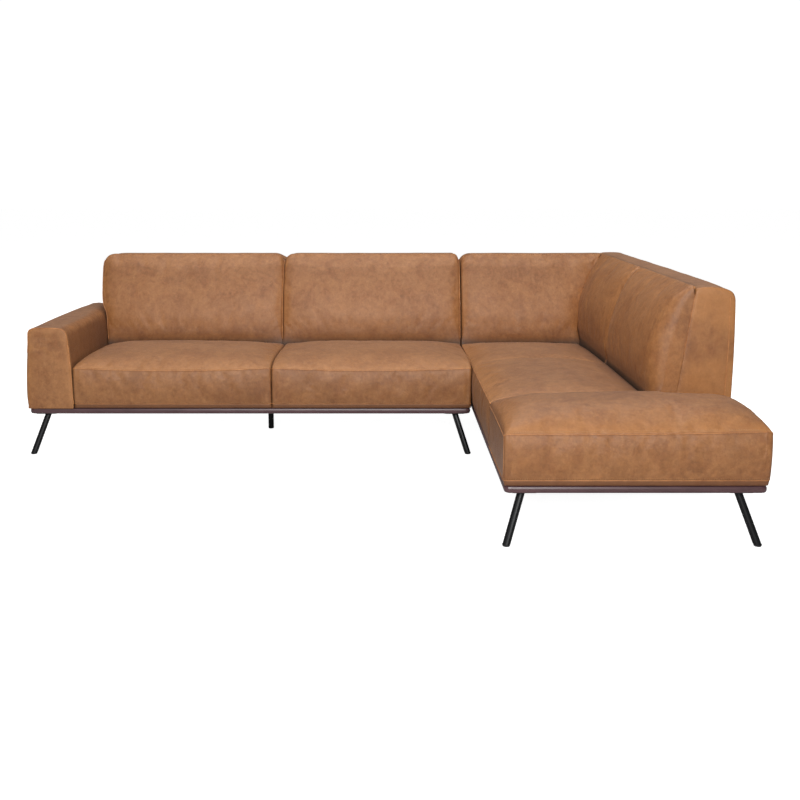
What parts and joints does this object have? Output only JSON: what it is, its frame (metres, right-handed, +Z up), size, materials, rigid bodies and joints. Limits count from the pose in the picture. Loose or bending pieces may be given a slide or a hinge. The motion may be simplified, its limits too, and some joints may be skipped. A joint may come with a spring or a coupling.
{
  "type": "corner sofa",
  "caption": "Leather corner sofa with a low arm at one end, an open-ended seat at the other, padded backs along the rear and side, a thin dark plinth and splayed tube legs.",
  "frame": {"origin": "middle of the footprint, on the floor", "axes": "+X along the rear back, from the arm towards the corner; -Y is the way the rear backs face; +Z up"},
  "size_m": [2.74, 1.88, 0.8],
  "materials": {
    "leather": "satin",
    "plinth_wood": "satin",
    "black_steel": "satin",
    "black_plastic": "matte",
    "timber": "matte",
    "plywood": "matte",
    "webbing": "matte",
    "dust_cloth": "matte",
    "zinc_steel": "satin"
  },
  "bodies": {
    "corner_unit": {"plinth_front_corner_unit": "plinth_wood", "plinth_rear_corner_unit": "plinth_wood", "plinth_left_corner_unit": "plinth_wood", "plinth_right_corner_unit": "plinth_wood", "dust_cover_corner_unit": "dust_cloth", "leg_chaise_left": "black_steel", "glide_chaise_left": "black_plastic", "leg_chaise_right": "black_steel", "glide_chaise_right": "black_plastic", "leg_corner_left": "black_steel", "glide_corner_left": "black_plastic", "leg_corner_right": "black_steel", "glide_corner_right": "black_plastic", "seat_rail_front_corner_unit": "timber", "seat_rail_rear_corner_unit": "timber", "seat_rail_left_corner_unit": "timber", "seat_rail_right_corner_unit": "timber", "seat_cross_rail_corner_unit": "timber", "seat_webbing_corner_unit": "webbing", "back_cover_right": "leather", "back_panel_right": "plywood", "back_cover_rear": "leather", "back_panel_rear": "plywood", "back_cushion_right_rear": "leather", "back_cushion_right_front": "leather", "back_cushion_corner": "leather", "seat_cushion_corner": "leather", "seat_cushion_middle": "leather", "seat_cushion_front": "leather", "connector_channel": "zinc_steel"},
    "left_unit": {"plinth_front_left_unit": "plinth_wood", "plinth_rear_left_unit": "plinth_wood", "plinth_left_left_unit": "plinth_wood", "plinth_right_left_unit": "plinth_wood", "dust_cover_left_unit": "dust_cloth", "leg_arm_front": "black_steel", "glide_arm_front": "black_plastic", "leg_arm_rear": "black_steel", "glide_arm_rear": "black_plastic", "leg_inner_front": "black_steel", "glide_inner_front": "black_plastic", "leg_inner_rear": "black_steel", "glide_inner_rear": "black_plastic", "leg_centre_support": "black_steel", "glide_centre_support": "black_plastic", "seat_rail_front_left_unit": "timber", "seat_rail_rear_left_unit": "timber", "seat_rail_left_left_unit": "timber", "seat_rail_right_left_unit": "timber", "seat_cross_rail_left_unit": "timber", "seat_webbing_left_unit": "webbing", "arm_cushion": "leather", "arm_panel": "plywood", "back_cover_left_unit": "leather", "back_panel_left_unit": "plywood", "back_cushion_left": "leather", "back_cushion_centre": "leather", "seat_cushion_left": "leather", "seat_cushion_centre": "leather", "connector_tongue": "zinc_steel"}
  },
  "joints": [
    {"name": "unit_release", "type": "slide", "parent": "corner_unit", "child": "left_unit", "axis": [-1, 0, 0], "range_m": [0, 0.3]}
  ]
}
